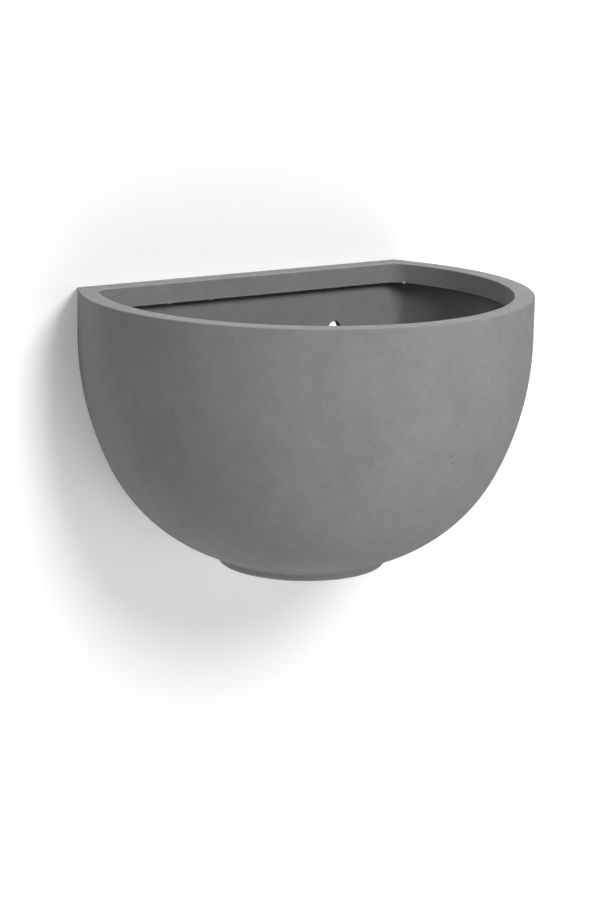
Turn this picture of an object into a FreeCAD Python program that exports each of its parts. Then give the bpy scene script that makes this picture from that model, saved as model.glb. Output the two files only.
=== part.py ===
import FreeCAD, Part
import math
import os

from FreeCAD import Vector

# A wall-hung planter cast in lightweight concrete: a deep round bowl cut flat by the
# wall, with a thick rim, a thin wall below it and a low round foot, and the rubber
# plug of its drain hole.
#
# Millimetres, +Z up. The wall is the plane Y = 0, the bowl stands out of it towards -Y,
# and the origin is midway between the two mounting holes, on the wall face.

# Bowl, seen from above
RIM_RADIUS = 230.0          # outside of the rim, about the bowl's upright axis
AXIS_FROM_WALL = 118.0      # the upright axis stands this far ahead of the wall
WALL = 8.0                  # round wall below the rim
BACK_WALL = 8.0             # flat back below the rim
RIM_WIDTH = 20.5            # thickness of the rim, all the way round
CORNER_RADIUS = 20.0        # upright inner corners by the wall, in the rim and below it

# Bowl, seen from the side: a straight band, a slack arc, then the belly's tighter arc
BOWL_DEPTH = 273.5          # from the rim's top down to the foot's root
RIM_HEIGHT = 21.5           # depth of the rim's inner face, down to the undercut
STRAIGHT_HEIGHT = 44.5      # upright band under the rim's edge
SIDE_RADIUS = 305.0         # slack arc of the side
SIDE_TURN = 26.4            # degrees that the slack arc turns inwards
FLOOR_RADIUS = 71.0         # level floor inside, where the belly's wall runs into it

# Edges
RIM_EDGE_CHAMFER = 1.5      # outer top edge of the rim
MOUTH_EDGE_CHAMFER = 1.5    # inner top edge of the rim

# Foot
FOOT_RADIUS = 86.0
FOOT_HEIGHT = 9.0           # below its root on the belly
FOOT_EDGE_CHAMFER = 2.5
FOOT_RING = 18.0            # width of the ring that the foot stands on
RECESS_DEPTH = 3.5          # hollow under the foot
RECESS_DRAFT = 2.0          # how far the hollow's side leans inwards as it rises

# Mounting holes through the back
HOLE_RADIUS = 8.0
HOLE_SPACING = 230.0
RIM_ABOVE_HOLES = 68.0

# Drain and its plug
DRAIN_RADIUS = 10.0
PLUG_CLEARANCE = 0.1        # round the plug's stem
PLUG_HEAD_RADIUS = 15.0
PLUG_HEAD_HEIGHT = 4.0
PLUG_HEAD_CHAMFER = 1.2
PLUG_REACH = 1.5            # the stem's end stands out below the floor by this
PLUG_TIP_CHAMFER = 1.2
PLUG_SKIN = 3.5             # rubber left round the stem's hollow, and over it

RIM_TOP = RIM_ABOVE_HOLES
ROOT_Z = RIM_TOP - BOWL_DEPTH
FOOT_Z = ROOT_Z - FOOT_HEIGHT
RECESS_Z = FOOT_Z + RECESS_DEPTH
OVERRUN = 10.0              # how far a cutter runs past the face that it opens


def at(radius, z):
    """A point of an upright section, drawn from the bowl's axis towards the wall."""
    return Vector(0, radius - AXIS_FROM_WALL, z)


def line(start, end):
    return Part.LineSegment(at(*start), at(*end)).toShape()


def arc(centre, radius, start_angle, end_angle):
    """An arc of an upright section, by its angles in degrees below the horizontal."""
    points = []
    for angle in (start_angle, (start_angle + end_angle) / 2, end_angle):
        turn = math.radians(angle)
        points.append(at(centre[0] + radius * math.cos(turn), centre[1] - radius * math.sin(turn)))
    return Part.Arc(*points).toShape()


def turned(edges):
    """The solid that a closed upright section sweeps round the bowl's axis."""
    face = Part.Face(Part.Wire(Part.__sortEdges__(edges)))
    return face.revolve(at(0, 0), Vector(0, 0, 1), 360)


def ahead_of(solid, distance):
    """The part of a solid that lies more than a distance ahead of the wall."""
    reach = 4 * RIM_RADIUS
    keep = Part.makeBox(2 * reach, reach, 2 * reach, Vector(-reach, -reach - distance, -reach))
    return solid.common(keep)


# The two arcs of the side. The belly's arc leaves the slack arc smoothly and ends at the
# foot's root, which gives its radius.
SIDE_CENTRE = (RIM_RADIUS - SIDE_RADIUS, RIM_TOP - STRAIGHT_HEIGHT)
TURN = math.radians(SIDE_TURN)
JOIN = (SIDE_CENTRE[0] + SIDE_RADIUS * math.cos(TURN), SIDE_CENTRE[1] - SIDE_RADIUS * math.sin(TURN))
TO_ROOT = (FOOT_RADIUS - JOIN[0], ROOT_Z - JOIN[1])
BELLY_RADIUS = (TO_ROOT[0] ** 2 + TO_ROOT[1] ** 2) / (
    2 * (TO_ROOT[1] * math.sin(TURN) - TO_ROOT[0] * math.cos(TURN)))
BELLY_CENTRE = (JOIN[0] - BELLY_RADIUS * math.cos(TURN), JOIN[1] + BELLY_RADIUS * math.sin(TURN))
FLOOR_Z = BELLY_CENTRE[1] - math.sqrt((BELLY_RADIUS - WALL) ** 2 - (FLOOR_RADIUS - BELLY_CENTRE[0]) ** 2)


def belly_angle(radius, z):
    """How far the belly has turned, seen from its arc's centre, at a point of the section."""
    return math.degrees(math.atan2(BELLY_CENTRE[1] - z, radius - BELLY_CENTRE[0]))


def bowl_outside():
    """The whole bowl and its foot as one turned solid, before the wall cuts it."""
    rim_edge = (RIM_RADIUS - RIM_EDGE_CHAMFER, RIM_TOP - RIM_EDGE_CHAMFER)
    foot_edge = (FOOT_RADIUS - FOOT_EDGE_CHAMFER, FOOT_Z + FOOT_EDGE_CHAMFER)
    return turned([
        line((0, RIM_TOP), (rim_edge[0], RIM_TOP)),
        line((rim_edge[0], RIM_TOP), (RIM_RADIUS, rim_edge[1])),
        line((RIM_RADIUS, rim_edge[1]), (RIM_RADIUS, SIDE_CENTRE[1])),
        arc(SIDE_CENTRE, SIDE_RADIUS, 0, SIDE_TURN),
        arc(BELLY_CENTRE, BELLY_RADIUS, SIDE_TURN, belly_angle(FOOT_RADIUS, ROOT_Z)),
        line((FOOT_RADIUS, ROOT_Z), (FOOT_RADIUS, foot_edge[1])),
        line((FOOT_RADIUS, foot_edge[1]), (foot_edge[0], FOOT_Z)),
        line((foot_edge[0], FOOT_Z), (0, FOOT_Z)),
        line((0, FOOT_Z), (0, RIM_TOP)),
    ])


def chamber():
    """The hollow below the rim: it follows the outside and undercuts the rim."""
    top = RIM_TOP - RIM_HEIGHT
    radius = RIM_RADIUS - WALL
    hollow = ahead_of(turned([
        line((0, top), (radius, top)),
        line((radius, top), (radius, SIDE_CENTRE[1])),
        arc(SIDE_CENTRE, SIDE_RADIUS - WALL, 0, SIDE_TURN),
        arc(BELLY_CENTRE, BELLY_RADIUS - WALL, SIDE_TURN, belly_angle(FLOOR_RADIUS, FLOOR_Z)),
        line((FLOOR_RADIUS, FLOOR_Z), (0, FLOOR_Z)),
        line((0, FLOOR_Z), (0, top)),
    ]), BACK_WALL)
    inner_back = [face for face in hollow.Faces if abs(face.CenterOfMass.y + BACK_WALL) < 0.01][0]
    corner = [edge for edge in inner_back.Edges if edge.BoundBox.ZMin < top - 1]
    return hollow.makeFillet(CORNER_RADIUS, corner)


def mouth():
    """The opening inside the rim, flat along the wall, with its two corners rounded."""
    base = Vector(0, -AXIS_FROM_WALL, RIM_TOP - RIM_HEIGHT)
    opening = ahead_of(Part.makeCylinder(RIM_RADIUS - RIM_WIDTH, RIM_HEIGHT, base), RIM_WIDTH)
    upright = [edge for edge in opening.Edges
               if edge.BoundBox.XLength < 0.01 and abs(edge.BoundBox.YMax + RIM_WIDTH) < 0.01]
    return opening.makeFillet(CORNER_RADIUS, upright)


def foot_recess():
    """The shallow hollow under the foot, which leaves a ring to stand on."""
    rim = FOOT_RADIUS - FOOT_RING
    return turned([
        line((0, FOOT_Z), (rim, FOOT_Z)),
        line((rim, FOOT_Z), (rim - RECESS_DRAFT, RECESS_Z)),
        line((rim - RECESS_DRAFT, RECESS_Z), (0, RECESS_Z)),
        line((0, RECESS_Z), (0, FOOT_Z)),
    ])


def mounting_hole(side):
    """One of the two round holes through the back, on the left or the right."""
    start = Vector(side * HOLE_SPACING / 2, OVERRUN, 0)
    return Part.makeCylinder(HOLE_RADIUS, BACK_WALL + 2 * OVERRUN, start, Vector(0, -1, 0))


def drain_hole():
    depth = FLOOR_Z - RECESS_Z
    return Part.makeCylinder(DRAIN_RADIUS, depth + 2 * OVERRUN, at(0, RECESS_Z - OVERRUN))


def planter_bowl():
    """The casting: bowl, rim, flat back and foot in one piece."""
    bowl = ahead_of(bowl_outside(), 0)
    for cutter in (chamber(), mouth(), foot_recess(), drain_hole(), mounting_hole(-1), mounting_hole(1)):
        bowl = bowl.cut(cutter)
    mouth_reach = RIM_RADIUS - RIM_WIDTH + 0.01
    mouth_edge = [edge for edge in bowl.Edges
                  if edge.BoundBox.ZMin > RIM_TOP - 0.01
                  and all(vertex.Point.distanceToPoint(at(0, RIM_TOP)) < mouth_reach
                          for vertex in edge.Vertexes)]
    return bowl.makeChamfer(MOUTH_EDGE_CHAMFER, mouth_edge)


def drain_plug():
    """The rubber plug: its head lies on the floor, its hollow stem fills the drain hole."""
    stem = DRAIN_RADIUS - PLUG_CLEARANCE
    tip = RECESS_Z - PLUG_REACH
    head_top = FLOOR_Z + PLUG_HEAD_HEIGHT
    head_flat = PLUG_HEAD_RADIUS - PLUG_HEAD_CHAMFER
    bore = stem - PLUG_SKIN
    bore_top = head_top - PLUG_SKIN
    return turned([
        line((0, head_top), (head_flat, head_top)),
        line((head_flat, head_top), (PLUG_HEAD_RADIUS, head_top - PLUG_HEAD_CHAMFER)),
        line((PLUG_HEAD_RADIUS, head_top - PLUG_HEAD_CHAMFER), (PLUG_HEAD_RADIUS, FLOOR_Z)),
        line((PLUG_HEAD_RADIUS, FLOOR_Z), (stem, FLOOR_Z)),
        line((stem, FLOOR_Z), (stem, tip + PLUG_TIP_CHAMFER)),
        line((stem, tip + PLUG_TIP_CHAMFER), (stem - PLUG_TIP_CHAMFER, tip)),
        line((stem - PLUG_TIP_CHAMFER, tip), (bore, tip)),
        line((bore, tip), (bore, bore_top)),
        line((bore, bore_top), (0, bore_top)),
        line((0, bore_top), (0, head_top)),
    ])


PARTS = {
    "planter_bowl": planter_bowl,
    "drain_plug": drain_plug,
}

if __name__ == "__main__":
    os.makedirs("parts", exist_ok=True)
    for name, make in PARTS.items():
        make().exportStep(f"parts/{name}.step")
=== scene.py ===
import math

import bpy
from mathutils import Matrix, Vector


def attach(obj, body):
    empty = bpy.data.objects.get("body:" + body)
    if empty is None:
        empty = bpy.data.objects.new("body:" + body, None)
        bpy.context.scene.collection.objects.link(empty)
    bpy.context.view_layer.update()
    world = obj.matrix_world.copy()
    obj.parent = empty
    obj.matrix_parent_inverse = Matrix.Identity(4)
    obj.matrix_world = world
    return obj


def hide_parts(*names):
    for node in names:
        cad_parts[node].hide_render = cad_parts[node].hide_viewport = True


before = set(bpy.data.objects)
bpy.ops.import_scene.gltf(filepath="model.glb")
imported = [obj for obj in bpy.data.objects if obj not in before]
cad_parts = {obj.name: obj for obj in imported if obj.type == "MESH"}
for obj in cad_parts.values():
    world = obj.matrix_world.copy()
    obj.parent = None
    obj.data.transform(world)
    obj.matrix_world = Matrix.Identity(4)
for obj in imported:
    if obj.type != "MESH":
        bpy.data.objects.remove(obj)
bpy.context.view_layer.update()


# ---------------------------------------------------------------------------------------
# Planter bowl. A deep round bowl of lightweight fibre-reinforced concrete, cast in one
# piece in a mould, with a thick rim, a thin wall below it, a low round foot and a flat
# back. Two screws through the holes in that back hang it on the wall.
# ---------------------------------------------------------------------------------------

MM = 0.001
RIM_RADIUS = 230 * MM            # outside, about the bowl's upright axis
AXIS_TO_WALL = 118 * MM
WALL = 8 * MM                    # the wall below the rim, and the flat back
RIM_WIDTH = 20.5 * MM
RIM_TOP = 68 * MM
RIM_HEIGHT = 21.5 * MM
SIDE_TOP = 23.5 * MM             # lower end of the upright band under the rim's edge
SIDE_RADIUS = 305 * MM
SIDE_TURN = math.radians(26.4)
ROOT = (86 * MM, -205.5 * MM)    # where the belly meets the foot
FOOT_Z = -214.5 * MM
FOOT_RING = 18 * MM
RECESS_DEPTH = 3.5 * MM
FLOOR_RADIUS = 71 * MM
DRAIN_RADIUS = 10 * MM
CORNER = 20 * MM                 # upright inner corners by the wall
HOLE_RADIUS = 8 * MM
HOLE_SPACING = 230 * MM
OUTER_EASE = 1.2 * MM            # how far the casting's edges are rounded
MOUTH_EASE = 1.1 * MM
SMALL_EASE = 0.6 * MM
FOOT_EASE = 3.5 * MM
ROOT_FILLET = 4 * MM             # hollow rounding where the belly runs into the foot
HOLE_FLARE = 0.4 * MM            # how far the mounting holes' edges are worn open
DRILL_LENGTH = 30 * MM
BURR = 1.7 * MM                  # cement left under the rim's inner edge by the mould
BURRS = ((190, 29.5, 1.0), (-101, 20.5, 0.5), (-50, 20.5, 0.45))    # mm across and ahead, share of size
WAVINESS = 0.35 * MM             # how far the mould lets the surface wander inwards
WAVE_LENGTH = 90 * MM


def add(tree, kind, sockets=None, **settings):
    """Adds a node with its settings; a socket takes a value or another node's output."""
    node = tree.nodes.new(kind)
    for name, value in settings.items():
        setattr(node, name, value)
    for name, value in (sockets or {}).items():
        if isinstance(value, bpy.types.NodeSocket):
            tree.links.new(value, node.inputs[name])
        else:
            node.inputs[name].default_value = value
    return node


# The belly's arc leaves the slack arc of the side smoothly and ends at the foot's root.
side_centre = (RIM_RADIUS - SIDE_RADIUS, SIDE_TOP)
join = (side_centre[0] + SIDE_RADIUS * math.cos(SIDE_TURN),
        SIDE_TOP - SIDE_RADIUS * math.sin(SIDE_TURN))
to_root = (ROOT[0] - join[0], ROOT[1] - join[1])
belly_radius = (to_root[0] ** 2 + to_root[1] ** 2) / (
    2 * (to_root[1] * math.sin(SIDE_TURN) - to_root[0] * math.cos(SIDE_TURN)))
belly_centre = (join[0] - belly_radius * math.cos(SIDE_TURN),
                join[1] + belly_radius * math.sin(SIDE_TURN))


def on_belly(radius, offset):
    """Height of the point at a radius on the belly's arc, moved outwards by an offset."""
    across = radius - belly_centre[0]
    return belly_centre[1] - math.sqrt((belly_radius + offset) ** 2 - across ** 2)


floor_z = on_belly(FLOOR_RADIUS, -WALL)
fillet_centre = (ROOT[0] + ROOT_FILLET, on_belly(ROOT[0] + ROOT_FILLET, ROOT_FILLET))
under_z = RIM_TOP - RIM_HEIGHT
recess_z = FOOT_Z + RECESS_DEPTH
hollow_radius = RIM_RADIUS - WALL
mouth_radius = RIM_RADIUS - RIM_WIDTH
ring_radius = ROOT[0] - FOOT_RING
outer_back = AXIS_TO_WALL
hollow_back = AXIS_TO_WALL - WALL
mouth_back = AXIS_TO_WALL - RIM_WIDTH


def run(start, end, steps):
    """Levels between two of them: (radius, height, distance of the flat back, corner)."""
    return [[a + (b - a) * i / steps for a, b in zip(start, end)] for i in range(steps + 1)]


def arc(centre, radius, start, end, steps, back, back_radius, corner):
    """Levels along an arc of the section; the flat back may round off with it."""
    made = []
    for i in range(steps + 1):
        angle = start + (end - start) * i / steps
        made.append([centre[0] + radius * math.cos(angle), centre[1] + radius * math.sin(angle),
                     back + back_radius * math.cos(angle), corner])
    return made


def belly_angle(radius, z):
    """The angle of a point of the section, seen from the belly arc's centre."""
    return math.atan2(z - belly_centre[1], radius - belly_centre[0])


# The section's levels, once round: over the rim, down the outside, under the foot, up the
# drain, and up the inside to the mouth. Each run has its share of paler colour, from 0 to 1:
# real rubbing, and on the rim top, the mouth's edge, the rim's lower inner edge and the
# foot's rounded root and edge also a painted highlight where light catches them. Each run
# stops short of the next one by about 0.6 mm or 0.7 degrees.
quarter = math.pi / 2
step = math.radians(0.7)
thin = 0.6 * MM
fillet_start = belly_angle(*fillet_centre)
levels = []
for wear_and_highlight, part in (
        (0.4, run((mouth_radius + MOUTH_EASE + thin, RIM_TOP, mouth_back + MOUTH_EASE + thin, CORNER),
                  (RIM_RADIUS - OUTER_EASE - thin, RIM_TOP, outer_back - 2 * thin, 2 * thin), 8)),
        (0, arc((RIM_RADIUS - OUTER_EASE, RIM_TOP - OUTER_EASE), OUTER_EASE, quarter, 0, 8,
                  outer_back - thin, thin, thin)),
        (0, run((RIM_RADIUS, RIM_TOP - OUTER_EASE - thin, outer_back, thin),
                (RIM_RADIUS, SIDE_TOP, outer_back, thin), 10)),
        (0, arc(side_centre, SIDE_RADIUS, -step, -SIDE_TURN, 40, outer_back, 0, thin)),
        (0, arc(belly_centre, belly_radius, -SIDE_TURN - step, fillet_start, 46, outer_back, 0, thin)),
        (0.4, arc(fillet_centre, ROOT_FILLET, fillet_start + 2 * quarter - 0.15, 2 * quarter, 6,
                  outer_back, 0, thin)),
        (0.4, arc((ROOT[0] - FOOT_EASE, FOOT_Z + FOOT_EASE), FOOT_EASE, 0, -quarter, 8,
                  outer_back, 0, thin)),
        (0.3, run((ROOT[0] - FOOT_EASE - thin, FOOT_Z, outer_back, thin),
                  (ring_radius + thin, FOOT_Z, outer_back, thin), 4)),
        (0, run((ring_radius, FOOT_Z + SMALL_EASE, outer_back, thin),
                (ring_radius - 2 * MM, recess_z - SMALL_EASE, outer_back, thin), 2)),
        (0, run((ring_radius - 3.5 * MM, recess_z, outer_back, thin),
                (DRAIN_RADIUS + SMALL_EASE, recess_z, outer_back, thin), 12)),
        (0, run((DRAIN_RADIUS, recess_z + SMALL_EASE, outer_back, thin),
                (DRAIN_RADIUS, floor_z, outer_back, thin), 5)),
        (0, run((DRAIN_RADIUS + thin, floor_z, hollow_back, thin),
                (FLOOR_RADIUS - 2 * thin, floor_z, hollow_back, CORNER), 14)),
        (0, arc(belly_centre, belly_radius - WALL, belly_angle(FLOOR_RADIUS, floor_z) + step,
                -SIDE_TURN, 40, hollow_back, 0, CORNER)),
        (0, arc(side_centre, SIDE_RADIUS - WALL, -SIDE_TURN + step, 0, 34, hollow_back, 0, CORNER)),
        (0, run((hollow_radius, SIDE_TOP + 2 * thin, hollow_back, CORNER),
                (hollow_radius, under_z - thin, hollow_back, CORNER), 6)),
        (0, run((hollow_radius - thin, under_z, hollow_back - thin, CORNER),
                (mouth_radius + thin, under_z, mouth_back + thin, CORNER), 4)),
        (0.4, run((mouth_radius, under_z + SMALL_EASE, mouth_back, CORNER),
                  (mouth_radius, under_z + SMALL_EASE + thin, mouth_back, CORNER), 1)),
        (0, run((mouth_radius, under_z + 3 * thin, mouth_back, CORNER),
                (mouth_radius, RIM_TOP - MOUTH_EASE - thin, mouth_back, CORNER), 5)),
        (0.7, arc((mouth_radius + MOUTH_EASE, RIM_TOP - MOUTH_EASE), MOUTH_EASE, 2 * quarter, quarter,
                  6, mouth_back + MOUTH_EASE, MOUTH_EASE, CORNER))):
    levels += [level + [wear_and_highlight] for level in part]
levels.append(levels[0])

# Each level is a round arc about the axis, a rounded corner and half the straight back,
# and mirrored. The corner's centre lies `arm` from the axis, turned by `bend`.
section = bpy.data.meshes.new("bowl_section")
section.from_pydata([(level[0], 0, level[1]) for level in levels], [], [])
for name in ("arm", "corner", "bend", "flat", "wear_and_highlight"):
    section.attributes.new(name, "FLOAT", "POINT")
for i, (radius, height, back, corner, wear_and_highlight) in enumerate(levels):
    corner = min(corner, radius / 2)
    arm = radius - corner
    rise = min(back - corner, arm)
    flat = math.sqrt(max(0, arm * arm - rise * rise))
    for name, value in (("arm", arm), ("corner", corner), ("bend", math.atan2(rise, flat)),
                        ("flat", flat), ("wear_and_highlight", wear_and_highlight)):
        section.attributes[name].data[i].value = value

ROUND_STEPS = 90
CORNER_STEPS = 8
BACK_STEPS = 20

sweep = bpy.data.node_groups.new("bowl_from_section", "GeometryNodeTree")
sweep.interface.new_socket("Section", in_out="INPUT", socket_type="NodeSocketGeometry")
inputs = {}
for kind, names in (
        ("NodeSocketInt", ("Levels", "Round steps", "Corner steps", "Back steps")),
        ("NodeSocketFloat", ("Axis to wall", "Wall", "Hole radius", "Hole flare", "Hole spacing",
                             "Burr size", "Waviness", "Wave length")),
        ("NodeSocketMaterial", ("Concrete",))):
    for name in names:
        inputs[name] = sweep.interface.new_socket(name, in_out="INPUT", socket_type=kind).identifier
sweep.interface.new_socket("Bowl", in_out="OUTPUT", socket_type="NodeSocketGeometry")
given = add(sweep, "NodeGroupInput").outputs

# A sheet of steps round the bowl by levels of the section, one unit a step.
to_corner = add(sweep, "ShaderNodeMath", {0: given["Round steps"], 1: given["Corner steps"]},
                operation="ADD").outputs[0]
half = add(sweep, "ShaderNodeMath", {0: to_corner, 1: given["Back steps"]}, operation="ADD").outputs[0]
whole = add(sweep, "ShaderNodeMath", {0: half, 1: 2.0}, operation="MULTIPLY").outputs[0]
across = add(sweep, "ShaderNodeMath", {0: whole, 1: 1.0}, operation="ADD").outputs[0]
last_level = add(sweep, "ShaderNodeMath", {0: given["Levels"], 1: 1.0},
                 operation="SUBTRACT").outputs[0]
sheet = add(sweep, "GeometryNodeMeshGrid", {
    "Size X": whole, "Size Y": last_level, "Vertices X": across,
    "Vertices Y": given["Levels"]}).outputs["Mesh"]
place = add(sweep, "GeometryNodeInputPosition").outputs[0]
place = add(sweep, "ShaderNodeSeparateXYZ", {0: place}).outputs
middle = add(sweep, "ShaderNodeMath", {0: last_level, 1: 0.5}, operation="MULTIPLY").outputs[0]
level = add(sweep, "ShaderNodeMath", {0: place["Y"], 1: middle}, operation="ADD").outputs[0]
level = add(sweep, "ShaderNodeMath", {0: level}, operation="ROUND").outputs[0]
side = add(sweep, "ShaderNodeMath", {0: place["X"]}, operation="SIGN").outputs[0]
away = add(sweep, "ShaderNodeMath", {0: place["X"]}, operation="ABSOLUTE").outputs[0]
along = add(sweep, "ShaderNodeMath", {0: half, 1: away}, operation="SUBTRACT").outputs[0]

sampled = {}
for name in ("arm", "corner", "bend", "flat", "wear_and_highlight"):
    field = add(sweep, "GeometryNodeInputNamedAttribute", {"Name": name}, data_type="FLOAT")
    sampled[name] = add(sweep, "GeometryNodeSampleIndex", {
        "Geometry": given["Section"], "Value": field.outputs["Attribute"], "Index": level},
        data_type="FLOAT", domain="POINT").outputs[0]
point = add(sweep, "GeometryNodeInputPosition").outputs[0]
point = add(sweep, "GeometryNodeSampleIndex", {
    "Geometry": given["Section"], "Value": point, "Index": level},
    data_type="FLOAT_VECTOR", domain="POINT").outputs[0]
height = add(sweep, "ShaderNodeSeparateXYZ", {0: point}).outputs["Z"]

# Turn along the round part, turn along the corner, and the way back along the flat.
round_turn = add(sweep, "ShaderNodeMapRange", {
    "Value": along, "From Min": 0.0, "From Max": given["Round steps"],
    "To Min": -quarter, "To Max": sampled["bend"]}).outputs[0]
corner_left = add(sweep, "ShaderNodeMath", {0: quarter, 1: sampled["bend"]},
                  operation="SUBTRACT").outputs[0]
corner_turn = add(sweep, "ShaderNodeMapRange", {
    "Value": along, "From Min": given["Round steps"], "From Max": to_corner,
    "To Min": 0.0, "To Max": corner_left}).outputs[0]
turned = add(sweep, "ShaderNodeMath", {0: round_turn, 1: corner_turn}, operation="ADD").outputs[0]
slide = add(sweep, "ShaderNodeMapRange", {
    "Value": along, "From Min": to_corner, "From Max": half,
    "To Min": 0.0, "To Max": sampled["flat"]}).outputs[0]
reach = {}
for axis, operation in (("x", "COSINE"), ("y", "SINE")):
    from_axis = add(sweep, "ShaderNodeMath", {0: round_turn}, operation=operation).outputs[0]
    from_corner = add(sweep, "ShaderNodeMath", {0: turned}, operation=operation).outputs[0]
    arm = add(sweep, "ShaderNodeMath", {0: from_axis, 1: sampled["arm"]},
              operation="MULTIPLY").outputs[0]
    reach[axis] = add(sweep, "ShaderNodeMath", {0: from_corner, 1: sampled["corner"], 2: arm},
                      operation="MULTIPLY_ADD").outputs[0]
x = add(sweep, "ShaderNodeMath", {0: reach["x"], 1: slide}, operation="SUBTRACT").outputs[0]
x = add(sweep, "ShaderNodeMath", {0: x, 1: side}, operation="MULTIPLY").outputs[0]
y = add(sweep, "ShaderNodeMath", {0: reach["y"], 1: given["Axis to wall"]},
        operation="SUBTRACT").outputs[0]
shell_point = add(sweep, "ShaderNodeCombineXYZ", {"X": x, "Y": y, "Z": height}).outputs[0]
sheet = add(sweep, "GeometryNodeStoreNamedAttribute", {
    "Geometry": sheet, "Name": "wear_and_highlight", "Value": sampled["wear_and_highlight"]},
    data_type="FLOAT", domain="POINT").outputs[0]
shell = add(sweep, "GeometryNodeSetPosition", {"Geometry": sheet, "Position": shell_point}).outputs[0]
shell = add(sweep, "GeometryNodeMergeByDistance", {
    "Geometry": shell, "Distance": 0.01 * MM}).outputs[0]

# The slow waves of a casting, always inwards and none on the flat back.
wave = add(sweep, "ShaderNodeMath", {0: 1.0, 1: given["Wave length"]}, operation="DIVIDE").outputs[0]
wave = add(sweep, "ShaderNodeTexNoise", {"Scale": wave, "Detail": 1.0, "Roughness": 0.4}).outputs[0]
here = add(sweep, "GeometryNodeInputPosition").outputs[0]
here = add(sweep, "ShaderNodeSeparateXYZ", {0: here}).outputs["Y"]
free = add(sweep, "ShaderNodeMapRange", {
    "Value": here, "From Min": -RIM_WIDTH, "From Max": -WALL * 1.5,
    "To Min": 1.0, "To Max": 0.0}).outputs[0]
depth = add(sweep, "ShaderNodeMath", {0: wave, 1: free}, operation="MULTIPLY").outputs[0]
depth = add(sweep, "ShaderNodeMath", {0: depth, 1: given["Waviness"]}, operation="MULTIPLY").outputs[0]
depth = add(sweep, "ShaderNodeMath", {0: depth, 1: -1.0}, operation="MULTIPLY").outputs[0]
inward = add(sweep, "GeometryNodeInputNormal").outputs[0]
inward = add(sweep, "ShaderNodeVectorMath", {0: inward, "Scale": depth}, operation="SCALE").outputs[0]
shell = add(sweep, "GeometryNodeSetPosition", {"Geometry": shell, "Offset": inward}).outputs[0]

# Burrs of cement under the rim's inner edge, where the mould's two halves met.
lumps = []
for sideways, ahead, size in BURRS:
    spot = (sideways * MM, -ahead * MM, under_z + 0.2 * MM)
    lump_size = add(sweep, "ShaderNodeMath", {0: given["Burr size"], 1: size},
                    operation="MULTIPLY").outputs[0]
    lump = add(sweep, "GeometryNodeMeshIcoSphere", {
        "Radius": lump_size, "Subdivisions": 3}).outputs["Mesh"]
    lump = add(sweep, "GeometryNodeTransform", {
        "Geometry": lump, "Translation": spot, "Rotation": (0.3, 0.2, size),
        "Scale": (1.3, 0.9, 1.0)}).outputs[0]
    # The burrs are painted fully pale: a painted highlight where light catches them.
    lumps.append(add(sweep, "GeometryNodeStoreNamedAttribute", {
        "Geometry": lump, "Name": "wear_and_highlight", "Value": 1.0}, data_type="FLOAT", domain="POINT").outputs[0])

# The two mounting holes, cut along Y, with an edge at each end that the drill and the
# screws have worn open.
drill = add(sweep, "GeometryNodeMeshCylinder", {
    "Vertices": 48, "Side Segments": 60, "Radius": given["Hole radius"],
    "Depth": DRILL_LENGTH}).outputs["Mesh"]
place = add(sweep, "GeometryNodeInputPosition").outputs[0]
place = add(sweep, "ShaderNodeSeparateXYZ", {0: place}).outputs
from_middle = add(sweep, "ShaderNodeMath", {0: place["Z"]}, operation="ABSOLUTE").outputs[0]
plain = add(sweep, "ShaderNodeMath", {0: given["Wall"], 1: 0.5}, operation="MULTIPLY").outputs[0]
plain = add(sweep, "ShaderNodeMath", {0: plain, 1: given["Hole flare"]},
            operation="SUBTRACT").outputs[0]
opening = add(sweep, "ShaderNodeMath", {0: from_middle, 1: plain}, operation="SUBTRACT").outputs[0]
opening = add(sweep, "ShaderNodeMath", {0: opening, 1: 0.0}, operation="MAXIMUM").outputs[0]
widening = add(sweep, "ShaderNodeMath", {0: opening, 1: given["Hole radius"]},
               operation="DIVIDE").outputs[0]
widening = add(sweep, "ShaderNodeMath", {0: widening, 1: 1.0}, operation="ADD").outputs[0]
widening = add(sweep, "ShaderNodeCombineXYZ", {"X": widening, "Y": widening, "Z": 1.0}).outputs[0]
widened = add(sweep, "GeometryNodeInputPosition").outputs[0]
widened = add(sweep, "ShaderNodeVectorMath", {0: widened, 1: widening}, operation="MULTIPLY").outputs[0]
drill = add(sweep, "GeometryNodeSetPosition", {"Geometry": drill, "Position": widened}).outputs[0]
centre_left = add(sweep, "ShaderNodeMath", {0: given["Hole spacing"], 1: -0.5},
                  operation="MULTIPLY").outputs[0]
centre_deep = add(sweep, "ShaderNodeMath", {0: given["Wall"], 1: -0.5}, operation="MULTIPLY").outputs[0]
first_hole = add(sweep, "ShaderNodeCombineXYZ", {"X": centre_left, "Y": centre_deep}).outputs[0]
to_next_hole = add(sweep, "ShaderNodeCombineXYZ", {"X": given["Hole spacing"]}).outputs[0]
drill_row = add(sweep, "GeometryNodeMeshLine", {
    "Count": 2, "Start Location": first_hole, "Offset": to_next_hole}).outputs[0]
drills = add(sweep, "GeometryNodeInstanceOnPoints", {
    "Points": drill_row, "Instance": drill, "Rotation": (quarter, 0.0, 0.0)}).outputs[0]
drills = add(sweep, "GeometryNodeRealizeInstances", {"Geometry": drills}).outputs[0]
cut = add(sweep, "GeometryNodeMeshBoolean", {"Mesh 1": shell, "Mesh 2": drills}, operation="DIFFERENCE",
          solver="EXACT").outputs["Mesh"]
cast_whole = add(sweep, "GeometryNodeJoinGeometry")
for piece in [cut] + lumps:
    sweep.links.new(piece, cast_whole.inputs[0])

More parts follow.
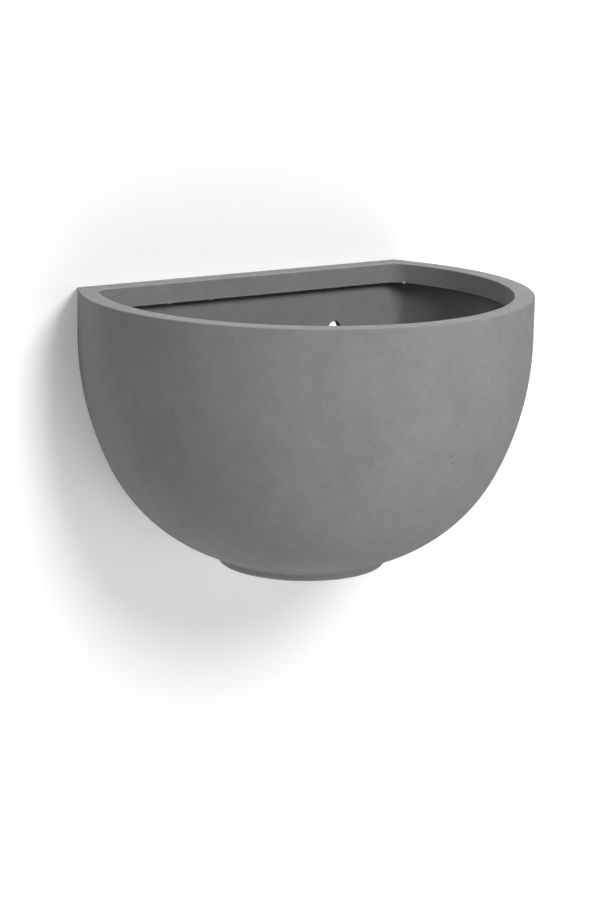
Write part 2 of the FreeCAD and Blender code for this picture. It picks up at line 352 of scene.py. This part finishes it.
# Smooth all over but for the few edges that the mould left sharp.
fold = add(sweep, "GeometryNodeInputMeshEdgeAngle").outputs["Unsigned Angle"]
soft = add(sweep, "FunctionNodeCompare", {"A": fold, "B": math.radians(50)}, data_type="FLOAT",
           operation="LESS_THAN").outputs["Result"]
solid = add(sweep, "GeometryNodeSetShadeSmooth", {
    "Geometry": cast_whole.outputs[0], "Shade Smooth": True}).outputs[0]
solid = add(sweep, "GeometryNodeSetShadeSmooth", {"Geometry": solid, "Shade Smooth": soft},
            domain="EDGE").outputs[0]
solid = add(sweep, "GeometryNodeRealizeInstances", {"Geometry": solid}).outputs[0]
solid = add(sweep, "GeometryNodeSetMaterial", {
    "Geometry": solid, "Material": given["Concrete"]}).outputs[0]
add(sweep, "NodeGroupOutput", {0: solid})


def linear(colour):
    """A colour written as sRGB hex, in the linear values that shaders take."""
    parts = [int(colour[i:i + 2], 16) / 255 for i in (1, 3, 5)]
    return [c / 12.92 if c <= 0.04045 else ((c + 0.055) / 1.055) ** 2.4 for c in parts] + [1.0]


# Lightweight concrete, cast smooth and left unsealed: dull and open-pored, an even grey
# with faint clouds and mottling where the fine cement gathered, pale grains of filler, small
# air holes painted dark as the shade inside them, and the rim top and edges painted paler,
# partly as rubbing and partly as a painted highlight.
CONCRETE_PALE = "#929292"
CONCRETE_DARK = "#7F7F7F"
# pale colour for rubbing and for the painted highlight on the rim top and edges
RUBBED_AND_HIGHLIT = "#B0B0AF"
# painted shade inside the air holes
AIR_HOLE_SHADE = "#5C5C5C"
FILLER = "#A0A09F"
CLOUD = 70                       # mm across
MOTTLE = 14                      # mm across
GRAIN = 2.0                      # mm; finer in fact, drawn as coarse as it shows
CLOUD_SHARE = 0.30               # how much of the tone each of the three makes
MOTTLE_SHARE = 0.32
GRAIN_SHARE = 0.38
PINHOLE_SPACING = 11             # mm
PINHOLE_LARGEST = 0.09           # radius, as a share of the spacing
SPECK_SPACING = 5                # mm
SPECK_LARGEST = 0.12
RELIEF = 0.2 * MM

concrete = bpy.data.materials.new("cast_lightweight_concrete")
concrete.use_nodes = True
tree = concrete.node_tree
tree.nodes.clear()
where = add(tree, "ShaderNodeTexCoord").outputs["Object"]
cloud = add(tree, "ShaderNodeTexNoise", {
    "Vector": where, "Scale": 1000 / CLOUD, "Detail": 2.0, "Roughness": 0.5,
    "Distortion": 0.4}).outputs[0]
mottle = add(tree, "ShaderNodeTexNoise", {
    "Vector": where, "Scale": 1000 / MOTTLE, "Detail": 4.0, "Roughness": 0.55,
    "Distortion": 0.3}).outputs[0]
grain = add(tree, "ShaderNodeTexNoise", {
    "Vector": where, "Scale": 1000 / GRAIN, "Detail": 2.0, "Roughness": 0.6}).outputs[0]
tone = add(tree, "ShaderNodeMath", {0: cloud, 1: CLOUD_SHARE}, operation="MULTIPLY").outputs[0]
tone = add(tree, "ShaderNodeMath", {0: mottle, 1: MOTTLE_SHARE, 2: tone},
           operation="MULTIPLY_ADD").outputs[0]
tone = add(tree, "ShaderNodeMath", {0: grain, 1: GRAIN_SHARE, 2: tone},
           operation="MULTIPLY_ADD").outputs[0]
tone = add(tree, "ShaderNodeMapRange", {"Value": tone, "From Min": 0.3, "From Max": 0.7}).outputs[0]
paste = add(tree, "ShaderNodeMix", {0: tone, 6: linear(CONCRETE_DARK), 7: linear(CONCRETE_PALE)},
            data_type="RGBA").outputs[2]

# The pale share per level: rubbing, and a painted highlight on the rim top and edges.
rubbed_and_highlit = add(tree, "ShaderNodeAttribute", attribute_name="wear_and_highlight").outputs["Fac"]
patchy = add(tree, "ShaderNodeMapRange", {
    "Value": mottle, "From Min": 0.35, "From Max": 0.65, "To Min": 0.6, "To Max": 1.0}).outputs[0]
rubbed_and_highlit = add(tree, "ShaderNodeMath", {0: rubbed_and_highlit, 1: patchy}, operation="MULTIPLY").outputs[0]
paste = add(tree, "ShaderNodeMix", {0: rubbed_and_highlit, 6: paste, 7: linear(RUBBED_AND_HIGHLIT)}, data_type="RGBA").outputs[2]

# Air holes are sunk, and painted dark as the shade inside them. Grains of filler only show their paler
# colour.
pin_cell = add(tree, "ShaderNodeTexVoronoi", {
    "Vector": where, "Scale": 1000 / PINHOLE_SPACING, "Randomness": 1.0})
pin_size = add(tree, "ShaderNodeSeparateColor", {0: pin_cell.outputs["Color"]}).outputs[0]
pin_radius = add(tree, "ShaderNodeMapRange", {
    "Value": pin_size, "From Min": 0.6, "From Max": 1.0, "To Min": 0.01,
    "To Max": PINHOLE_LARGEST}).outputs[0]
pinhole = add(tree, "ShaderNodeMath", {0: pin_cell.outputs["Distance"], 1: pin_radius},
              operation="LESS_THAN").outputs[0]
pits_painted_dark = add(tree, "ShaderNodeMix", {0: pinhole, 6: paste, 7: linear(AIR_HOLE_SHADE)},
             data_type="RGBA").outputs[2]

speck_cell = add(tree, "ShaderNodeTexVoronoi", {
    "Vector": where, "Scale": 1000 / SPECK_SPACING, "Randomness": 1.0})
speck_size = add(tree, "ShaderNodeSeparateColor", {0: speck_cell.outputs["Color"]}).outputs[1]
speck_radius = add(tree, "ShaderNodeMapRange", {
    "Value": speck_size, "From Min": 0.75, "From Max": 1.0, "To Min": 0.0,
    "To Max": SPECK_LARGEST}).outputs[0]
speck = add(tree, "ShaderNodeMath", {0: speck_cell.outputs["Distance"], 1: speck_radius},
            operation="LESS_THAN").outputs[0]
speckled = add(tree, "ShaderNodeMix", {0: speck, 6: pits_painted_dark, 7: linear(FILLER)},
               data_type="RGBA").outputs[2]

relief = add(tree, "ShaderNodeMath", {0: grain, 1: mottle}, operation="ADD").outputs[0]
relief = add(tree, "ShaderNodeMath", {0: pinhole, 1: -3.0, 2: relief},
             operation="MULTIPLY_ADD").outputs[0]
bump = add(tree, "ShaderNodeBump", {
    "Height": relief, "Strength": 0.4, "Distance": RELIEF}).outputs[0]
dull = add(tree, "ShaderNodeMapRange", {"Value": tone, "To Min": 0.92, "To Max": 0.84}).outputs[0]
surface = add(tree, "ShaderNodeBsdfPrincipled", {
    "Base Color": speckled, "Roughness": dull, "IOR": 1.5, "Specular IOR Level": 0.35,
    "Normal": bump}).outputs[0]
add(tree, "ShaderNodeOutputMaterial", {"Surface": surface})

maker = bpy.data.objects.new("bowl_maker", section)
bpy.context.scene.collection.objects.link(maker)
modifier = maker.modifiers.new("sweep", "NODES")
modifier.node_group = sweep
for name, value in (("Levels", len(levels)), ("Round steps", ROUND_STEPS),
                    ("Corner steps", CORNER_STEPS), ("Back steps", BACK_STEPS),
                    ("Axis to wall", AXIS_TO_WALL), ("Wall", WALL), ("Hole radius", HOLE_RADIUS),
                    ("Hole flare", HOLE_FLARE), ("Hole spacing", HOLE_SPACING), ("Burr size", BURR),
                    ("Waviness", WAVINESS), ("Wave length", WAVE_LENGTH), ("Concrete", concrete)):
    modifier[inputs[name]] = value
bpy.context.view_layer.update()
cast = bpy.data.meshes.new_from_object(maker.evaluated_get(bpy.context.evaluated_depsgraph_get()))
bpy.data.objects.remove(maker)
cast.materials.clear()
cast.materials.append(concrete)
cast.polygons.foreach_set("material_index", [0] * len(cast.polygons))
bowl = bpy.data.objects.new("concrete_bowl", cast)
bpy.context.scene.collection.objects.link(bowl)
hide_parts("planter_bowl")
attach(bowl, "planter")


# ---------------------------------------------------------------------------------------
# Drain plug. A push-in plug of moulded black rubber: its flat head lies on the bowl's floor
# and its hollow stem fills the drain hole, and it pulls out upwards.
# ---------------------------------------------------------------------------------------

HEAD_RADIUS = 15 * MM
HEAD_TOP = floor_z + 4 * MM
STEM_RADIUS = 9.9 * MM
STEM_TIP = recess_z - 1.5 * MM
BORE_RADIUS = 6.4 * MM
SKIN = 3.5 * MM                  # rubber left over the bore
HEAD_ROUND = 1.4 * MM
TIP_ROUND = 1.2 * MM
DISH = 0.6 * MM                  # the head's middle is sunk by this inside a raised ring
DISH_RADIUS = 9 * MM
PLUG_STEPS = 72


def quarter_round(centre, radius, start):
    """Points of the plug's section along a quarter circle, clockwise from an angle."""
    return [(centre[0] + radius * math.cos(start - quarter * i / 6),
             centre[1] + radius * math.sin(start - quarter * i / 6)) for i in range(7)]


profile = (
    [(0, HEAD_TOP - DISH), (DISH_RADIUS * 0.5, HEAD_TOP - DISH),
     (DISH_RADIUS - 2 * DISH, HEAD_TOP - DISH), (DISH_RADIUS - DISH, HEAD_TOP - 0.85 * DISH),
     (DISH_RADIUS, HEAD_TOP - 0.5 * DISH),
     (DISH_RADIUS + DISH, HEAD_TOP - 0.12 * DISH), (DISH_RADIUS + 2 * DISH, HEAD_TOP)]
    + quarter_round((HEAD_RADIUS - HEAD_ROUND, HEAD_TOP - HEAD_ROUND), HEAD_ROUND, quarter)
    + [(HEAD_RADIUS, floor_z + 0.5 * MM), (HEAD_RADIUS - 0.3 * MM, floor_z + 0.1 * MM),
       (HEAD_RADIUS - 0.8 * MM, floor_z), (STEM_RADIUS + 0.3 * MM, floor_z),
       (STEM_RADIUS, floor_z - 0.3 * MM)]
    + quarter_round((STEM_RADIUS - TIP_ROUND, STEM_TIP + TIP_ROUND), TIP_ROUND, 0)
    + [(BORE_RADIUS + 0.4 * MM, STEM_TIP), (BORE_RADIUS, STEM_TIP + 0.4 * MM),
       (BORE_RADIUS, HEAD_TOP - SKIN - 0.6 * MM), (BORE_RADIUS - 0.6 * MM, HEAD_TOP - SKIN),
       (0, HEAD_TOP - SKIN)])

# The section turned round the drain's axis. Its two ends are on the axis, as poles.
between = profile[1:-1]
points = []
for i in range(PLUG_STEPS):
    turn = 4 * quarter * i / PLUG_STEPS
    points += [(radius * math.cos(turn), radius * math.sin(turn) - AXIS_TO_WALL, height)
               for radius, height in between]
points += [(0, -AXIS_TO_WALL, profile[0][1]), (0, -AXIS_TO_WALL, profile[-1][1])]
head_pole, bore_pole = len(points) - 2, len(points) - 1
last = len(between) - 1
faces = []
for i in range(PLUG_STEPS):
    here = i * len(between)
    after = (i + 1) % PLUG_STEPS * len(between)
    faces.append((head_pole, here, after))
    faces += [(here + j, here + j + 1, after + j + 1, after + j) for j in range(last)]
    faces.append((here + last, bore_pole, after + last))
moulding = bpy.data.meshes.new("rubber_plug")
moulding.from_pydata(points, [], faces)
moulding.shade_smooth()

# EPDM rubber, moulded: near black, dull, with a faint grey bloom and a fine moulded grain.
RUBBER_BLACK = "#262626"
RUBBER_BLOOM = "#363636"
BLOOM = 6                        # mm across
MOULD_GRAIN = 0.5                # mm

rubber = bpy.data.materials.new("moulded_black_rubber")
rubber.use_nodes = True
tree = rubber.node_tree
tree.nodes.clear()
where = add(tree, "ShaderNodeTexCoord").outputs["Object"]
bloom = add(tree, "ShaderNodeTexNoise", {
    "Vector": where, "Scale": 1000 / BLOOM, "Detail": 3.0}).outputs[0]
texture = add(tree, "ShaderNodeTexNoise", {
    "Vector": where, "Scale": 1000 / MOULD_GRAIN, "Detail": 1.0}).outputs[0]
black = add(tree, "ShaderNodeMix", {0: bloom, 6: linear(RUBBER_BLACK), 7: linear(RUBBER_BLOOM)},
            data_type="RGBA").outputs[2]
matt = add(tree, "ShaderNodeMapRange", {"Value": bloom, "To Min": 0.6, "To Max": 0.75}).outputs[0]
bump = add(tree, "ShaderNodeBump", {
    "Height": texture, "Strength": 0.3, "Distance": 0.05 * MM}).outputs[0]
surface = add(tree, "ShaderNodeBsdfPrincipled", {
    "Base Color": black, "Roughness": matt, "IOR": 1.52, "Normal": bump}).outputs[0]
add(tree, "ShaderNodeOutputMaterial", {"Surface": surface})
moulding.materials.append(rubber)
plug = bpy.data.objects.new("rubber_drain_plug", moulding)
bpy.context.scene.collection.objects.link(plug)
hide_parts("drain_plug")
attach(plug, "plug")


# ---------------------------------------------------------------------------------------
# The wall that the planter hangs on and the floor below it: plain matt white, here only
# to carry the planter and take its shadow.
# ---------------------------------------------------------------------------------------

WALL_GAP = 0.6 * MM              # between the planter's back face and the wall
WALL_TOP = 4
FLOOR_LEVEL = -1.6
REACH = 8                        # m to each side, and ahead of the wall
WHITE_PLASTER = "#F4F4F4"
GLOW = 0.235                     # what the camera sees on top of the light that falls on it
NEAR = 6 * MM

backdrop = bpy.data.meshes.new("backdrop")
backdrop.from_pydata([(-REACH, WALL_GAP, WALL_TOP), (REACH, WALL_GAP, WALL_TOP),
                      (REACH, WALL_GAP, FLOOR_LEVEL), (-REACH, WALL_GAP, FLOOR_LEVEL),
                      (-REACH, -REACH, FLOOR_LEVEL), (REACH, -REACH, FLOOR_LEVEL)],
                     [], [(0, 3, 2, 1), (3, 4, 5, 2)])
room = bpy.data.objects.new("wall_and_floor", backdrop)
bpy.context.scene.collection.objects.link(room)
plaster = bpy.data.materials.new("matt_white_plaster")
plaster.use_nodes = True
tree = plaster.node_tree
tree.nodes.clear()
ray = add(tree, "ShaderNodeLightPath").outputs
behind = add(tree, "ShaderNodeNewGeometry").outputs["Backfacing"]
where = add(tree, "ShaderNodeTexCoord").outputs["Object"]
white = add(tree, "ShaderNodeBsdfDiffuse", {"Color": linear(WHITE_PLASTER)}).outputs[0]
glow = add(tree, "ShaderNodeEmission", {"Color": (1, 1, 1, 1), "Strength": GLOW}).outputs[0]
lit = add(tree, "ShaderNodeMixShader", {0: ray["Is Camera Ray"], 2: glow}).outputs[0]
front = add(tree, "ShaderNodeAddShader", {0: white, 1: lit}).outputs[0]
# From behind, the wall is clear, and it lets light reach the planter's back face close to it.
near = add(tree, "ShaderNodeMath", {0: ray["Ray Length"], 1: NEAR}, operation="LESS_THAN").outputs[0]
far_off = add(tree, "ShaderNodeMath", {0: 1.0, 1: ray["Is Camera Ray"]}, operation="SUBTRACT").outputs[0]
near = add(tree, "ShaderNodeMath", {0: near, 1: far_off}, operation="MULTIPLY").outputs[0]
# White shows through the open mounting holes.
spot = add(tree, "ShaderNodeVectorMath", {0: where}, operation="ABSOLUTE").outputs[0]
spot = add(tree, "ShaderNodeVectorMath", {0: spot, 1: (HOLE_SPACING / 2, 0, 0)},
           operation="DISTANCE").outputs["Value"]
spot = add(tree, "ShaderNodeMath", {0: spot, 1: HOLE_RADIUS + thin}, operation="LESS_THAN").outputs[0]
clear = add(tree, "ShaderNodeMath", {0: behind, 1: near}, operation="MAXIMUM").outputs[0]
clear = add(tree, "ShaderNodeMath", {0: clear, 1: spot}, operation="MAXIMUM").outputs[0]
see_through = add(tree, "ShaderNodeBsdfTransparent").outputs[0]
surface = add(tree, "ShaderNodeMixShader", {0: clear, 1: front, 2: see_through}).outputs[0]
add(tree, "ShaderNodeOutputMaterial", {"Surface": surface})
backdrop.materials.append(plaster)


# ---------------------------------------------------------------------------------------
# Soft studio light: a box in front and above, a large weaker one low in front, a little
# from high on the right, and a fill for the back. The camera stands where the photo's did.
# ---------------------------------------------------------------------------------------

AMBIENT = 0.05

world = bpy.data.worlds.new("studio")
bpy.context.scene.world = world
world.use_nodes = True
tree = world.node_tree
tree.nodes.clear()
seen = add(tree, "ShaderNodeLightPath").outputs["Is Camera Ray"]
ambient = add(tree, "ShaderNodeMapRange", {"Value": seen, "To Min": AMBIENT, "To Max": 1.0}).outputs[0]
add(tree, "ShaderNodeOutputWorld", {"Surface": add(tree, "ShaderNodeBackground", {
    "Color": (1, 1, 1, 1), "Strength": ambient}).outputs[0]})

# Each lamp's turn to the right and height in degrees, its distance and size in metres, watts.
AIM = Vector((0, -0.12, -0.05))
for name, turn, height, away, size, power in (
        ("front_softbox", 3, 33, 3.2, 1.2, 69),
        ("floor_bounce", 10, -14, 3.2, 2.6, 31),
        ("high_right", 60, 75, 3.2, 1.6, 23),
        ("back_fill", 165, 25, 3.0, 1.5, 45)):
    turn, height = math.radians(turn), math.radians(height)
    place = AIM + away * Vector((math.sin(turn) * math.cos(height),
                                 -math.cos(turn) * math.cos(height), math.sin(height)))
    lamp = bpy.data.lights.new(name, "AREA")
    lamp.shape = "DISK"
    lamp.size = size
    lamp.energy = power
    holder = bpy.data.objects.new(name, lamp)
    holder.location = place
    holder.rotation_euler = (AIM - place).to_track_quat("-Z", "Y").to_euler()
    bpy.context.scene.collection.objects.link(holder)

lens = bpy.data.cameras.new("camera")
lens.sensor_width = 36
lens.sensor_fit = "AUTO"
lens.lens = 102.4
lens.clip_start = 0.05
camera = bpy.data.objects.new("camera", lens)
yaw, pitch, roll = math.radians(34.95), math.radians(12.91), math.radians(1.09)
ahead = Vector((math.sin(yaw) * math.cos(pitch), math.cos(yaw) * math.cos(pitch), -math.sin(pitch)))
right = Vector((math.cos(yaw), -math.sin(yaw), 0))
up = right.cross(ahead)
tilted_right = math.cos(roll) * right + math.sin(roll) * up
tilted_up = math.cos(roll) * up - math.sin(roll) * right
camera.matrix_world = Matrix.Translation((-1.464, -2.207, 0.486)) @ Matrix((
    (tilted_right.x, tilted_up.x, -ahead.x, 0),
    (tilted_right.y, tilted_up.y, -ahead.y, 0),
    (tilted_right.z, tilted_up.z, -ahead.z, 0),
    (0, 0, 0, 1)))
bpy.context.scene.collection.objects.link(camera)
bpy.context.scene.camera = camera
bpy.context.scene.view_settings.view_transform = "Standard"
